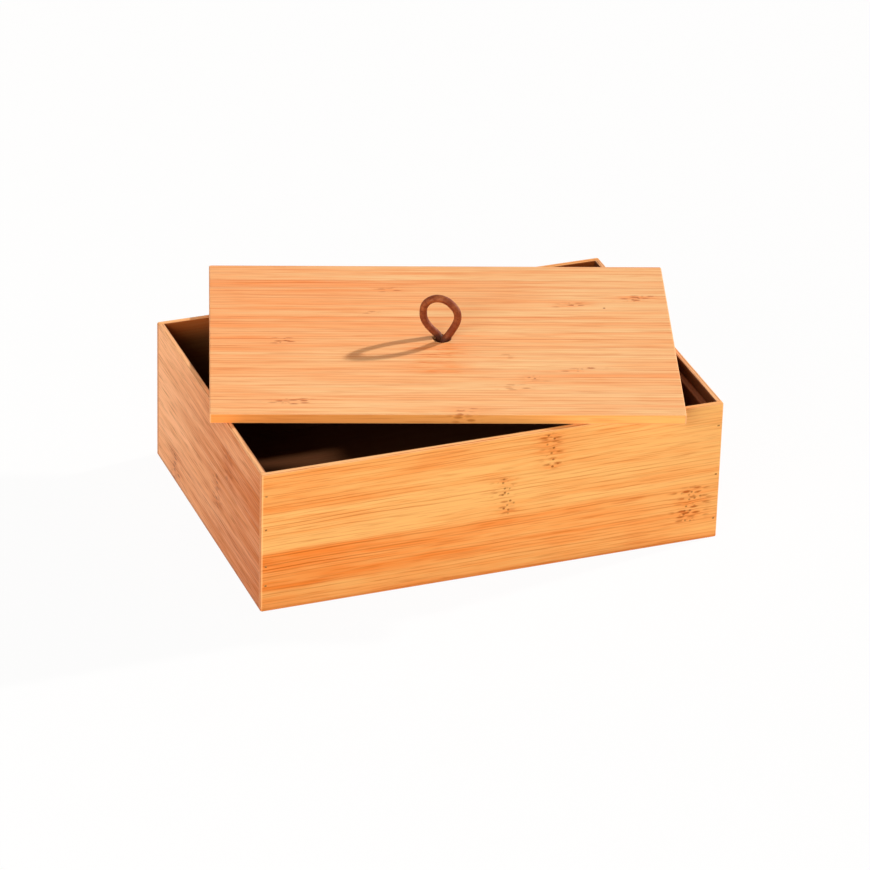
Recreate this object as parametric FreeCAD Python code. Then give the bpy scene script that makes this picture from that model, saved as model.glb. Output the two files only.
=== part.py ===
# Bamboo storage box with a loose board lid and a knotted leather pull.
# Millimetres, +Z up. The origin is the middle of the underside, with +X along the length.
# The lid lies askew on the rim, as it is put down when the box is opened.
import FreeCAD, Part
import math
import os

# Box: thin boards, butted and pinned at the corners, sanded after assembly
BOX_LENGTH = 225.0
BOX_DEPTH = 156.0
BOX_HEIGHT = 71.0
WALL_THICKNESS = 3.0
CORNER_RADIUS = 1.0
RIM_RADIUS = 0.6
FOOT_RADIUS = 0.5

# Bottom panel, set in between the walls, flush with their lower edges
BOTTOM_THICKNESS = 3.0
BOTTOM_EDGE_RADIUS = 0.3
GLUE_LINE = 0.1

# Cleats on the two short walls, which carry the closed lid
CLEAT_THICKNESS = 3.0
CLEAT_HEIGHT = 10.0
CLEAT_END_GAP = 0.5
CLEAT_EDGE_RADIUS = 0.8

# Square-wire brads through the long walls into the ends of the short walls
BRAD_LENGTH = 15.0
BRAD_WIDTH = 0.7
BRAD_TIP_LENGTH = 1.2
BRAD_HEAD_WIDTH = 0.95
BRAD_HEAD_HEIGHT = 0.6
BRAD_SINK = 0.2
BRAD_CLEARANCE = 0.05
BRAD_INSET_SHARE = 0.73
LEFT_BRAD_HEIGHT_SHARES = (0.19, 0.33, 0.60, 0.845)
RIGHT_BRAD_HEIGHT_SHARES = (0.147, 0.477, 0.84)

# Lid: drops in between the walls when it is turned square to the box
LID_THICKNESS = 5.0
LID_CLEARANCE = 0.4
LID_RECESS = 0.8
LID_CORNER_RADIUS = 1.0
LID_EDGE_RADIUS = 0.6
LID_SHIFT_X = 7.1
LID_SHIFT_Y = 12.9
LID_TURN_DEGREES = -18.0

# Leather pull: one round cord, looped above the lid and knotted below it
CORD_DIAMETER = 3.6
CORD_SIDES = 12
LEG_GAP = 0.6
HOLE_CLEARANCE = 0.3
HOLE_EDGE_RADIUS = 0.5
LOOP_RADIUS = 8.4
LEG_BEND_RADIUS = 3.6
LEG_SPLAY_DEGREES = 32.5
LOOP_TURN_DEGREES = -17.5

# Knot: one leg is wound round the other and tucked back through its own turns
KNOT_CLEARANCE = 0.3
KNOT_SLACK = 0.8
KNOT_TURN_GAP = 1.0
KNOT_TUCK = 5.0
KNOT_TURNS = 2
KNOT_START_DEGREES = 50.0
KNOT_END_DEGREES = 10.0
TAIL_LENGTH = 3.0
TAIL_BEND_RADIUS = 12.0
TAIL_SPLAY_DEGREES = 25.0

# Cuts run this far past the faces that they open
OVERRUN = 1.0
# Edges and places closer than this count as one
NEAR = 0.001
# Gaps between strands are measured on points this far apart
GAP_POINT_STEP = 0.5

# Sizes that follow from those above
INNER_LENGTH = BOX_LENGTH - 2 * WALL_THICKNESS
INNER_DEPTH = BOX_DEPTH - 2 * WALL_THICKNESS
LID_LENGTH = INNER_LENGTH - 2 * LID_CLEARANCE
LID_DEPTH = INNER_DEPTH - 2 * LID_CLEARANCE
CLEAT_TOP = BOX_HEIGHT - LID_RECESS - LID_THICKNESS
BRAD_INSET = BRAD_INSET_SHARE * WALL_THICKNESS
CORD_RADIUS = CORD_DIAMETER / 2
STRAND_STEP = CORD_DIAMETER + LEG_GAP
LEG_OFFSET = STRAND_STEP / 2
HOLE_RADIUS = LEG_OFFSET + CORD_RADIUS + HOLE_CLEARANCE
KNOT_PITCH = CORD_DIAMETER + KNOT_TURN_GAP
KNOT_SWEEP_DEGREES = 360 * KNOT_TURNS + KNOT_END_DEGREES - KNOT_START_DEGREES
KNOT_TOP = -KNOT_CLEARANCE - CORD_RADIUS
KNOT_BOTTOM = KNOT_TOP - KNOT_PITCH * KNOT_SWEEP_DEGREES / 360
TAIL_TOP = KNOT_BOTTOM - CORD_RADIUS
# The three strands inside the turns stand on an equal-sided triangle
TUCK_OFFSET = STRAND_STEP * math.sin(math.radians(60))
KNOT_CENTRE = TUCK_OFFSET / 3
TURN_RADIUS = 2 * KNOT_CENTRE + STRAND_STEP + KNOT_SLACK

FRONT, BACK = -1, 1
LEFT, RIGHT = -1, 1
ORIGIN = FreeCAD.Vector(0, 0, 0)
ALONG_X = FreeCAD.Vector(1, 0, 0)
ALONG_Y = FreeCAD.Vector(0, 1, 0)
UP = FreeCAD.Vector(0, 0, 1)
DOWN = FreeCAD.Vector(0, 0, -1)


def point(x, y, z):
    return FreeCAD.Vector(x, y, z)


def block(x_span, y_span, z_span):
    """A block over three spans, each given by its two ends in either order."""
    low = point(min(x_span), min(y_span), min(z_span))
    high = point(max(x_span), max(y_span), max(z_span))
    return Part.makeBox(high.x - low.x, high.y - low.y, high.z - low.z, low)


def centred_block(length, depth, z_span):
    return block((-length / 2, length / 2), (-depth / 2, depth / 2), z_span)


def upright_edges(shape):
    return [e for e in shape.Edges if e.BoundBox.XLength < NEAR and e.BoundBox.YLength < NEAR]


def edges_at(shape, height):
    """The edges that lie wholly at one height."""
    return [
        e
        for e in shape.Edges
        if abs(e.BoundBox.ZMin - height) < NEAR and abs(e.BoundBox.ZMax - height) < NEAR
    ]


def closed_outline(corners):
    return [Part.makeLine(a, b) for a, b in zip(corners, corners[1:] + corners[:1])]


def arc_between(start, corner, end):
    """The arc from start to end whose two tangents meet at corner, or a line if they are in line."""
    middle = (start + end) * 0.5
    rise = (corner - middle).Length
    half = (end - start).Length / 2
    if rise < NEAR:
        return Part.makeLine(start, end)
    bulge = half * (math.hypot(half, rise) - half) / rise
    return Part.Arc(start, middle + (corner - middle) * (bulge / rise), end).toShape()


def turned(edges, axis):
    """The solid that a closed outline sweeps in one turn about an axis through the origin."""
    return Part.Face(Part.Wire(edges)).revolve(ORIGIN, axis, 360)


# Walls, bottom and cleats


def sanded_frame():
    """The four walls as they are sanded together: eased corners, feet and rim."""
    frame = centred_block(BOX_LENGTH, BOX_DEPTH, (0, BOX_HEIGHT))
    frame = frame.makeFillet(CORNER_RADIUS, upright_edges(frame))
    frame = frame.makeFillet(FOOT_RADIUS, edges_at(frame, 0))
    cavity = centred_block(INNER_LENGTH, INNER_DEPTH, (-OVERRUN, BOX_HEIGHT + OVERRUN))
    frame = frame.cut(cavity)
    return frame.makeFillet(RIM_RADIUS, edges_at(frame, BOX_HEIGHT))


def long_wall(frame, side, holes):
    """The front or back wall, over the full length, with the holes of its brads."""
    board = block(
        (-BOX_LENGTH / 2 - OVERRUN, BOX_LENGTH / 2 + OVERRUN),
        (side * INNER_DEPTH / 2, side * (BOX_DEPTH / 2 + OVERRUN)),
        (-OVERRUN, BOX_HEIGHT + OVERRUN),
    )
    return frame.common(board).cut(holes)


def short_wall(frame, end, holes):
    """The left or right wall, butted between the long walls and pinned through its ends."""
    board = block(
        (end * INNER_LENGTH / 2, end * (BOX_LENGTH / 2 + OVERRUN)),
        (-INNER_DEPTH / 2, INNER_DEPTH / 2),
        (-OVERRUN, BOX_HEIGHT + OVERRUN),
    )
    return frame.common(board).cut(holes)


def bottom_panel():
    """The panel between the walls, with a glue line all round and an eased lower edge."""
    panel = centred_block(
        INNER_LENGTH - 2 * GLUE_LINE,
        INNER_DEPTH - 2 * GLUE_LINE,
        (0, BOTTOM_THICKNESS),
    )
    return panel.makeFillet(BOTTOM_EDGE_RADIUS, edges_at(panel, 0))


def cleat(end):
    """The strip inside the left or right wall, with its two long free edges eased."""
    free_face = end * (INNER_LENGTH / 2 - CLEAT_THICKNESS)
    half_depth = INNER_DEPTH / 2 - CLEAT_END_GAP
    strip = block(
        (end * INNER_LENGTH / 2, free_face),
        (-half_depth, half_depth),
        (CLEAT_TOP - CLEAT_HEIGHT, CLEAT_TOP),
    )
    free_edges = [
        e
        for e in strip.Edges
        if abs(e.CenterOfMass.x - free_face) < NEAR and abs(e.CenterOfMass.y) < NEAR
    ]
    return strip.makeFillet(CLEAT_EDGE_RADIUS, free_edges)


# Brads


def prism(corners, width):
    """A flat outline in the XY plane, thickened by a width to both sides."""
    face = Part.Face(Part.Wire(closed_outline(corners)))
    face.translate(DOWN * (width / 2))
    return face.extrude(UP * width)


def brad():
    """A brad along +Y, the top of its head at the origin: wide head, square shank, chisel point."""
    head = BRAD_HEAD_WIDTH / 2
    shank = BRAD_WIDTH / 2
    shoulder = BRAD_LENGTH - BRAD_TIP_LENGTH
    corners = [
        point(-head, 0, 0),
        point(head, 0, 0),
        point(head, BRAD_HEAD_HEIGHT, 0),
        point(shank, BRAD_HEAD_HEIGHT, 0),
        point(shank, shoulder, 0),
        point(0, BRAD_LENGTH, 0),
        point(-shank, shoulder, 0),
        point(-shank, BRAD_HEAD_HEIGHT, 0),
        point(-head, BRAD_HEAD_HEIGHT, 0),
    ]
    return prism(corners, BRAD_WIDTH)


def brad_hole():
    """The hole that a brad sits in, from outside the wall's face to just past the point."""
    head = BRAD_HEAD_WIDTH / 2 + BRAD_CLEARANCE
    shank = BRAD_WIDTH / 2 + BRAD_CLEARANCE
    seat = BRAD_HEAD_HEIGHT + BRAD_CLEARANCE
    depth = BRAD_LENGTH + BRAD_CLEARANCE
    corners = [
        point(-head, -OVERRUN, 0),
        point(head, -OVERRUN, 0),
        point(head, seat, 0),
        point(shank, seat, 0),
        point(shank, depth, 0),
        point(-shank, depth, 0),
        point(-shank, seat, 0),
        point(-head, seat, 0),
    ]
    return prism(corners, BRAD_WIDTH + 2 * BRAD_CLEARANCE)


def at_corner(shape, end, side):
    """Copies of a brad or of its hole, up one corner of the box."""
    copies = []
    for share in LEFT_BRAD_HEIGHT_SHARES if end == LEFT else RIGHT_BRAD_HEIGHT_SHARES:
        copy = shape.copy()
        if side == BACK:
            copy.rotate(ORIGIN, UP, 180)
        across = end * (BOX_LENGTH / 2 - BRAD_INSET)
        copy.translate(point(across, side * (BOX_DEPTH / 2 - BRAD_SINK), share * BOX_HEIGHT))
        copies.append(copy)
    return copies


# Lid


def lid_panel():
    """The lid's board, its underside on the XY plane, with an eased hole for the pull."""
    board = centred_block(LID_LENGTH, LID_DEPTH, (0, LID_THICKNESS))
    board = board.makeFillet(LID_CORNER_RADIUS, upright_edges(board))
    board = board.makeFillet(LID_EDGE_RADIUS, edges_at(board, 0) + edges_at(board, LID_THICKNESS))
    return board.cut(flared_hole())


def flared_hole():
    """The hole through the lid, flared at both mouths where its edges are eased."""
    mouth = HOLE_RADIUS + HOLE_EDGE_RADIUS
    shoulder = LID_THICKNESS - HOLE_EDGE_RADIUS
    low_flare = arc_between(
        point(mouth, 0, 0), point(HOLE_RADIUS, 0, 0), point(HOLE_RADIUS, 0, HOLE_EDGE_RADIUS)
    )
    high_flare = arc_between(
        point(HOLE_RADIUS, 0, shoulder), point(HOLE_RADIUS, 0, LID_THICKNESS), point(mouth, 0, LID_THICKNESS)
    )
    below = [point(0, 0, -OVERRUN), point(mouth, 0, -OVERRUN), point(mouth, 0, 0)]
    above = [
        point(mouth, 0, LID_THICKNESS),
        point(mouth, 0, LID_THICKNESS + OVERRUN),
        point(0, 0, LID_THICKNESS + OVERRUN),
        below[0],
    ]
    wall = Part.makeLine(point(HOLE_RADIUS, 0, HOLE_EDGE_RADIUS), point(HOLE_RADIUS, 0, shoulder))
    edges = [Part.makeLine(a, b) for a, b in zip(below, below[1:])]
    edges += [low_flare, wall, high_flare]
    edges += [Part.makeLine(a, b) for a, b in zip(above, above[1:])]
    return turned(edges, UP)


def on_rim(shape):
    """Moves a shape from the lid's own frame to where the lid lies on the rim."""
    moved = shape.copy()
    moved.rotate(ORIGIN, UP, LID_TURN_DEGREES)
    moved.translate(point(LID_SHIFT_X, LID_SHIFT_Y, BOX_HEIGHT))
    return moved


# Cord paths: each is a list of (place, direction) pairs, joined by pairs of tangent arcs


def biarc(start, start_way, end, end_way):
    """Two tangent arcs that leave start along one direction and reach end along another."""
    span = end - start
    square = span.dot(span)
    along = span.dot(start_way + end_way)
    turn = 2 * (1 - start_way.dot(end_way))
    if turn * square < NEAR * along:
        reach = square / (2 * along)
    else:
        reach = (math.sqrt(along**2 + turn * square) - along) / turn
    first = start + start_way * reach
    second = end - end_way * reach
    joint = (first + second) * 0.5
    return [arc_between(start, first, joint), arc_between(joint, second, end)]


def path_edges(places):
    edges = []
    for (start, start_way), (end, end_way) in zip(places, places[1:]):
        edges += biarc(start, start_way, end, end_way)
    return edges


def tube(edges):
    """One unbroken cord along a path that starts upright, its round section drawn with flat sides."""
    start = edges[0].firstVertex().Point
    corners = []
    for side in range(CORD_SIDES):
        angle = 2 * math.pi * side / CORD_SIDES
        corners.append(start + (ALONG_X * math.cos(angle) + ALONG_Y * math.sin(angle)) * CORD_RADIUS)
    section = Part.Wire(closed_outline(corners))
    return Part.Wire(edges).makePipeShell([section], True, False)


def tail(start, outward):
    """The places along a cord's tail, which leaves downwards and bends outwards to its cut end."""
    splay = math.radians(TAIL_SPLAY_DEGREES)
    way = DOWN * math.cos(splay) + outward * math.sin(splay)
    across = TAIL_BEND_RADIUS * (1 - math.cos(splay))
    bend_end = start + outward * across + DOWN * (TAIL_BEND_RADIUS * math.sin(splay))
    return [(start, DOWN), (bend_end, way), (bend_end + way * TAIL_LENGTH, way)]


def loop_places():
    """From under the lid up one leg, round the loop, down the other leg and along its tail."""
    splay = math.radians(LEG_SPLAY_DEGREES)
    bend_x = LEG_OFFSET + LEG_BEND_RADIUS * (1 - math.cos(splay))
    bend_z = LID_THICKNESS + LEG_BEND_RADIUS * math.sin(splay)
    crown_x = LOOP_RADIUS * math.cos(splay)
    crown_z = bend_z + (crown_x - bend_x) / math.tan(splay)
    top_z = crown_z + LOOP_RADIUS * (1 + math.sin(splay))
    rising = point(math.sin(splay), 0, math.cos(splay))
    falling = point(math.sin(splay), 0, -math.cos(splay))
    return [
        (point(LEG_OFFSET, 0, -KNOT_CLEARANCE), UP),
        (point(LEG_OFFSET, 0, LID_THICKNESS), UP),
        (point(bend_x, 0, bend_z), rising),
        (point(crown_x, 0, crown_z), rising),
        (point(0, 0, top_z), -ALONG_X),
        (point(-crown_x, 0, crown_z), falling),
        (point(-bend_x, 0, bend_z), falling),
        (point(-LEG_OFFSET, 0, LID_THICKNESS), DOWN),
    ] + tail(point(-LEG_OFFSET, 0, TAIL_TOP), -ALONG_X)


def knot_turn(degrees):
    """The place and direction on the rising turns at an angle about the knot's middle."""
    angle = math.radians(degrees)
    climb = KNOT_PITCH * (degrees - KNOT_START_DEGREES) / 360
    place = point(
        TURN_RADIUS * math.cos(angle), KNOT_CENTRE + TURN_RADIUS * math.sin(angle), KNOT_BOTTOM + climb
    )
    way = point(-math.sin(angle), math.cos(angle), KNOT_PITCH / (2 * math.pi * TURN_RADIUS))
    return place, way.normalize()


def knot_places():
    """From under the lid down the core, up round both legs in turns, and down the core again."""
    quarters = math.ceil(KNOT_SWEEP_DEGREES / 90)
    turns = [
        knot_turn(KNOT_START_DEGREES + KNOT_SWEEP_DEGREES * i / quarters) for i in range(quarters + 1)
    ]
    return [
        (point(LEG_OFFSET, 0, -KNOT_CLEARANCE), DOWN),
        (point(LEG_OFFSET, 0, KNOT_BOTTOM + KNOT_TUCK), DOWN),
        *turns,
        (point(0, TUCK_OFFSET, KNOT_TOP - KNOT_TUCK), DOWN),
        *tail(point(0, TUCK_OFFSET, TAIL_TOP), ALONG_Y),
    ]


def on_lid(shape):
    """Moves a shape from the pull's own frame to where the lid carries it."""
    moved = shape.copy()
    moved.rotate(ORIGIN, UP, LOOP_TURN_DEGREES)
    return on_rim(moved)


def spaced_points(edges):
    return Part.Wire(edges).discretize(Distance=GAP_POINT_STEP)


def least_gap(points, others, apart):
    """The least free gap between two strands, leaving out points nearer along the cord than apart."""
    skip = math.ceil(apart / GAP_POINT_STEP)
    return min(
        (a - b).Length - CORD_DIAMETER
        for i, a in enumerate(points)
        for j, b in enumerate(others)
        if not skip or abs(i - j) > skip
    )


def report_cord(name, edges, solid):
    length = sum(e.Length for e in edges)
    section = CORD_SIDES / 2 * math.sin(2 * math.pi / CORD_SIDES) * CORD_RADIUS**2
    radii = [e.Curve.Radius for e in edges if isinstance(e.Curve, Part.Circle)]
    print(f"{name}: {length:.1f} mm long, volume {solid.Volume / (section * length):.5f} of its section")
    print(f"{name}: bend radii " + ", ".join(f"{r:.1f}" for r in radii))


def save(name, solids):
    Part.makeCompound(solids).exportStep(f"parts/{name}.step")


def main():
    os.makedirs("parts", exist_ok=True)
    frame = sanded_frame()
    ends = {"left": LEFT, "right": RIGHT}
    sides = {"front": FRONT, "back": BACK}
    holes = {(s, e): at_corner(brad_hole(), ends[e], sides[s]) for s in sides for e in ends}
    for side in sides:
        save(f"{side}_wall", [long_wall(frame, sides[side], holes[side, "left"] + holes[side, "right"])])
    for end in ends:
        save(f"{end}_wall", [short_wall(frame, ends[end], holes["front", end] + holes["back", end])])
        save(f"{end}_cleat", [cleat(ends[end])])
    for side, end in holes:
        save(f"{side}_{end}_brads", at_corner(brad(), ends[end], sides[side]))
    save("bottom_panel", [bottom_panel()])
    save("lid_panel", [on_rim(lid_panel())])
    loop_edges = path_edges(loop_places())
    knot_edges = path_edges(knot_places())
    loop = tube(loop_edges)
    knot = tube(knot_edges)
    save("pull_loop", [on_lid(loop)])
    save("pull_knot", [on_lid(knot)])
    report_cord("pull_loop", loop_edges, loop)
    report_cord("pull_knot", knot_edges, knot)
    knot_points = spaced_points(knot_edges)
    beside = [p for p in spaced_points(loop_edges) if p.x < 0]
    print(f"knot's least gap to itself {least_gap(knot_points, knot_points, 3 * CORD_DIAMETER):.2f} mm")
    print(f"knot's least gap to the other leg {least_gap(knot_points, beside, 0):.2f} mm")


main()
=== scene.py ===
import math
from functools import wraps

import bpy
from bpy.props import FloatProperty, FloatVectorProperty, PointerProperty
from mathutils import Matrix, Vector


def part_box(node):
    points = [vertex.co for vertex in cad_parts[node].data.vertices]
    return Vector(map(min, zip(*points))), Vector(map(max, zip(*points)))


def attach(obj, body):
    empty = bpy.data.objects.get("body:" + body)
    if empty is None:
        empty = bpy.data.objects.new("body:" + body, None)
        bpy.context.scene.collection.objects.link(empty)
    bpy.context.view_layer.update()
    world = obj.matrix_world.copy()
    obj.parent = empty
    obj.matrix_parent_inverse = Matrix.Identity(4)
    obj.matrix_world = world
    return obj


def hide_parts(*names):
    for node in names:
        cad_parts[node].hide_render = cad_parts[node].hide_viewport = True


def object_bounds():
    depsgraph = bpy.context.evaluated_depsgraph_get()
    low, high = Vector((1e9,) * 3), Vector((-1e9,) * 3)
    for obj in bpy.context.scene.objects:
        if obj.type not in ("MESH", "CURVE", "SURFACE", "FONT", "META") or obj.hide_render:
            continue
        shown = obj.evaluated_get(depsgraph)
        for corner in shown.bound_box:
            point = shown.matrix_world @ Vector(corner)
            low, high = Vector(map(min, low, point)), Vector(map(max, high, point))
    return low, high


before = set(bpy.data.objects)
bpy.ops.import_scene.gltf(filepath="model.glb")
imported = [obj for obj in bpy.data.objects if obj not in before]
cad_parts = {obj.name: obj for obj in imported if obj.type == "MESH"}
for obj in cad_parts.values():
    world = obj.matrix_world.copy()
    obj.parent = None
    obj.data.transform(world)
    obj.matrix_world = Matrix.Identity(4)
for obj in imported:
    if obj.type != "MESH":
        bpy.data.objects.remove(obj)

bl_info = {
    "name": "Bamboo Keeper Box",
    "version": (1, 0, 0),
    "blender": (4, 5, 0),
    "location": "View3D > Sidebar > Bamboo Box",
    "description": "Finishes a lidded bamboo box with a leather pull and sets it on a studio stage",
    "category": "Object",
}

CAD_LOW, CAD_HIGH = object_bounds()

# The boards' places, from the frame, and how the lid and its pull are turned
LID_LOW, LID_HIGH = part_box("lid_panel")
LID_CENTRE = (LID_LOW + LID_HIGH) / 2
LID_TURN = math.radians(-18.0)
PULL_TURN = math.radians(-35.5)
RIM_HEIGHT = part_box("front_wall")[1].z

# The cord's route in the pull's own frame, in metres: along the loop, across it, and up from the
# lid's underside. It starts at the straight tail, makes the loop and ends where the knot begins.
LOOP_ROUTE = (
    (-0.0045, 0.0000, -0.0204),
    (-0.0021, 0.0000, -0.0152),
    (-0.0021, 0.0000, -0.0064),
    (-0.0017, 0.0009, -0.0010),
    (-0.0013, 0.0014, 0.0030),
    (-0.0019, 0.0012, 0.0056),
    (-0.0049, 0.0006, 0.0084),
    (-0.0075, 0.0002, 0.0112),
    (-0.0092, 0.0000, 0.0144),
    (-0.0095, 0.0000, 0.0180),
    (-0.0089, 0.0000, 0.0213),
    (-0.0065, 0.0000, 0.0241),
    (-0.0027, 0.0000, 0.0258),
    (0.0018, 0.0000, 0.0252),
    (0.0050, 0.0000, 0.0227),
    (0.0069, 0.0000, 0.0203),
    (0.0075, 0.0000, 0.0172),
    (0.0068, 0.0000, 0.0140),
    (0.0053, -0.0002, 0.0109),
    (0.0033, -0.0007, 0.0074),
    (0.0015, -0.0014, 0.0051),
    (0.0013, -0.0014, 0.0024),
    (0.0018, -0.0006, -0.0040),
    (0.0021, 0.0000, -0.0092),
    (0.0044, 0.0007, -0.0117),
    (0.0075, 0.0034, -0.0113),
)
# The knot's turns round both legs, and the way down through them to the second tail
KNOT_CENTRE = (0.0, 0.001212)
KNOT_RADIUS = 0.007425
KNOT_LOW = -0.010789
KNOT_PITCH = 0.0046
KNOT_START = math.radians(50.0)
KNOT_TURNS = 680.0 / 360.0
KNOT_POINTS = 27
KNOT_END_ROUTE = (
    (0.0065, 0.0061, -0.0020),
    (0.0024, 0.0056, -0.0022),
    (0.0000, 0.0039, -0.0055),
    (0.0000, 0.0036, -0.0114),
    (0.0000, 0.0038, -0.0153),
    (0.0000, 0.0060, -0.0204),
)

# Knuckles of the cane on each board: place along and across it, half the strip's width and the
# reach along the grain in metres, then how much its flecks, its strokes and its deeper tone show
FRONT_KNUCKLES = (
    (0.0262, 0.0600, 0.0098, 0.0028, 1.00, 0.80, 0.70),
    (0.0052, 0.0402, 0.0100, 0.0030, 0.95, 0.70, 0.55),
    (0.0985, 0.0198, 0.0098, 0.0046, 0.80, 1.00, 0.50),
)
LEFT_KNUCKLES = (
    (-0.0298, 0.0500, 0.0098, 0.0030, 0.25, 0.60, 0.45),
    (-0.0138, 0.0290, 0.0098, 0.0032, 0.30, 0.65, 0.45),
    (0.0470, 0.0075, 0.0090, 0.0036, 0.20, 0.80, 0.60),
)
BACK_KNUCKLES = (
    (-0.0560, 0.0600, 0.0098, 0.0030, 0.80, 0.50, 0.40),
    (0.0340, 0.0402, 0.0100, 0.0036, 0.85, 0.80, 0.45),
    (-0.0200, 0.0198, 0.0098, 0.0028, 0.75, 0.50, 0.35),
    (0.0890, 0.0050, 0.0090, 0.0030, 0.60, 0.45, 0.30),
)
RIGHT_KNUCKLES = (
    (0.0420, 0.0600, 0.0098, 0.0028, 0.40, 0.60, 0.40),
    (-0.0480, 0.0402, 0.0100, 0.0034, 0.45, 0.70, 0.45),
    (0.0120, 0.0198, 0.0098, 0.0030, 0.40, 0.60, 0.40),
)
BOTTOM_KNUCKLES = (
    (-0.0640, -0.0450, 0.0100, 0.0032, 0.70, 0.60, 0.40),
    (0.0310, -0.0250, 0.0100, 0.0030, 0.75, 0.55, 0.40),
    (-0.0120, 0.0150, 0.0100, 0.0036, 0.80, 0.70, 0.45),
    (0.0800, 0.0350, 0.0100, 0.0028, 0.65, 0.50, 0.35),
    (-0.0900, 0.0550, 0.0100, 0.0030, 0.70, 0.55, 0.40),
)
LID_KNUCKLES = (
    (0.0947, 0.0411, 0.0034, 0.0044, 0.55, 1.00, 1.00),
    (0.0631, 0.0347, 0.0030, 0.0036, 0.30, 1.00, 0.80),
    (0.0287, -0.0180, 0.0026, 0.0020, 0.20, 0.50, 0.20),
    (0.0424, -0.0405, 0.0036, 0.0030, 0.75, 0.50, 0.30),
    (0.0631, -0.0306, 0.0024, 0.0046, 0.40, 1.00, 0.50),
    (0.0318, -0.0483, 0.0030, 0.0040, 0.10, 0.70, 0.45),
    (-0.0740, -0.0027, 0.0032, 0.0032, 0.40, 0.95, 0.45),
    (-0.0342, 0.0258, 0.0030, 0.0022, 0.20, 0.50, 0.20),
    (-0.0234, 0.0495, 0.0028, 0.0034, 0.10, 0.70, 0.40),
    (-0.0739, -0.0623, 0.0032, 0.0062, 0.25, 1.00, 0.55),
    (0.0060, -0.0720, 0.0040, 0.0036, 0.30, 0.70, 0.40),
    (-0.0015, -0.0200, 0.0160, 0.0050, 0.00, 0.00, 0.90),
)
CLEAT_KNUCKLES = ((0.0210, 0.0590, 0.0060, 0.0028, 0.50, 0.50, 0.40),)
# Pin marks on the lid: place along and across it, and radius, with the share of it that is all dark
LID_PINS = ((0.0785, 0.0311, 0.0008),)
PIN_CORE = 0.4

# How deep the tone of each strip of the walls is at its low and its high end along the board, from
# the lowest strip up: 0 is all pale, and a strip stays so where its tone falls below that
FRONT_TONES = ((0.42, 0.20), (0.88, 0.24), (0.08, 0.08), (0.52, 0.03))
BACK_TONES = ((0.25, 0.35), (0.45, 0.60), (0.20, 0.15), (0.30, 0.30))
# The left wall's tones, deep at the front and pale at the back, are a painted reflection of the floor,
# shadowed by the box at the front and sunlit at the back
LEFT_TONES = ((1.04, -0.06), (0.94, -0.16), (1.02, -0.08), (0.90, -0.16))
RIGHT_TONES = ((0.40, 0.30), (0.60, 0.45), (0.35, 0.40), (0.50, 0.35))
# The tone of the other boards' strips differs by chance, and is deeper at the low end
CHANCE_TONE = 0.34
TONE_LEAN = 0.27

# Places along a board between which its tones and its side's colour change
RAMP_REACH = 0.095
# How far the grain lines lean in through a board's thickness
GRAIN_LEAN = 0.83
# Half the width of a fibre line, and of the glue line in a joint
LINE_HALF_WIDTH = 0.00044
JOINT_HALF_WIDTH = 0.00036
# How far the tones of two strips run into each other, in strip widths
JOINT_BLEND = 0.11
# How far a board's streaks and slow drift change its tone, and how much deeper it is at a knuckle
STREAK_SPREAD = 0.30
DRIFT_SPREAD = 0.16
HALO_SPREAD = 0.55
# The share of a fibre line's darkness that goes with the tone
DEEP_LINES = 0.6
# How much of a colour each effect takes at most
SIDE_SHARE = 0.88
STROKE_SHARE = 0.85
FLECK_SHARE = 0.84
# The foot's share is painted shade along the bottom edge of a wall
FOOT_SHADE_SHARE = 0.45
END_SHARE = 0.80
PORE_SHARE = 0.40
# Share of the painted light and shade on faces inside the box
INSIDE_SHADE_SHARE = 0.91
# Heights between which a wall's foot darkens with painted shade
FOOT_SHADE_HEIGHTS = (0.0028, 0.0004)

# Lumps of noise per metre along, across and into a board
JOINT_WAVER_SCALE = (9.0, 70.0, 70.0)
GRAIN_BEND_SCALE = (110.0, 160.0, 160.0)
PATCH_SCALE = (60.0, 420.0, 420.0)
PORE_SCALE = (300.0, 1900.0, 1900.0)
# How far a joint wavers and the grain bends at a knuckle, and how many rows a fibre line wavers by
JOINT_WAVER = 0.0006
GRAIN_BEND = 0.006
LINE_WAVER = 1.1
# Numbers that keep the chance of boards, of rows and of knuckles apart
BOARD_SHIFT = 7.13
BOARD_ROWS = 13.0
ROW_STEP = 3.7
KNUCKLE_SHIFT = 977.0
# Detail and roughness of the noise that breaks up joints and fibre lines
BREAK_NOISE = (3.0, 0.6)
# Breaks in a joint per metre, the noise between which it comes up, and what shows in a break
JOINT_BREAKS = 17.0
JOINT_SHOWN = (0.34, 0.64)
JOINT_LEAST = 0.12
# Where in its row a fibre line lies, how strong it is by chance, and the noise between which it
# comes up
LINE_PLACES = (0.3, 0.7)
LINE_CHANCE = (0.1, 1.0)
LINE_STRENGTHS = (0.45, 1.0)
LINE_SHOWN = (0.33, 0.56)
# Soft effects of the grain: a lump's length in fibre lengths and width in metres, the layer, detail
# and roughness of the noise, and the noise between which the effect comes up
WAVER_LUMPS = (0.6, 0.010, 1.3, 2.0, 0.5)
FIBRE_EFFECTS = {
    "Dash": ((0.26, 0.00085, 5.9, 2.0, 0.6), (0.50, 0.70)),
    "Mottle": ((0.43, 0.0030, 9.7, 2.0, 0.6), (0.30, 0.70)),
    "Streak": ((1.4, 0.0060, 14.9, 3.0, 0.6), (0.32, 0.68)),
    "Drift": ((1.05, 0.0600, 21.3, 2.0, 0.5), (0.32, 0.68)),
}
# Zigzags of a knuckle per metre across the strip, and how far they go, in reaches
ZIGZAGS = 260.0
ZIGZAG_REACH = 4.0
# Where a knuckle ends across its strip, in half widths
STRIP_ENDS = (1.05, 0.80)
# Ovals at a knuckle: length and width of a cell in metres, and the oval's radius in cells
FLECK_CELL = (0.0026, 0.0023, 0.33)
STROKE_CELL = (0.0064, 0.0018, 0.44)
OVAL_CORE = 0.35
OVAL_CHANCE = (0.10, 0.70)
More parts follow.
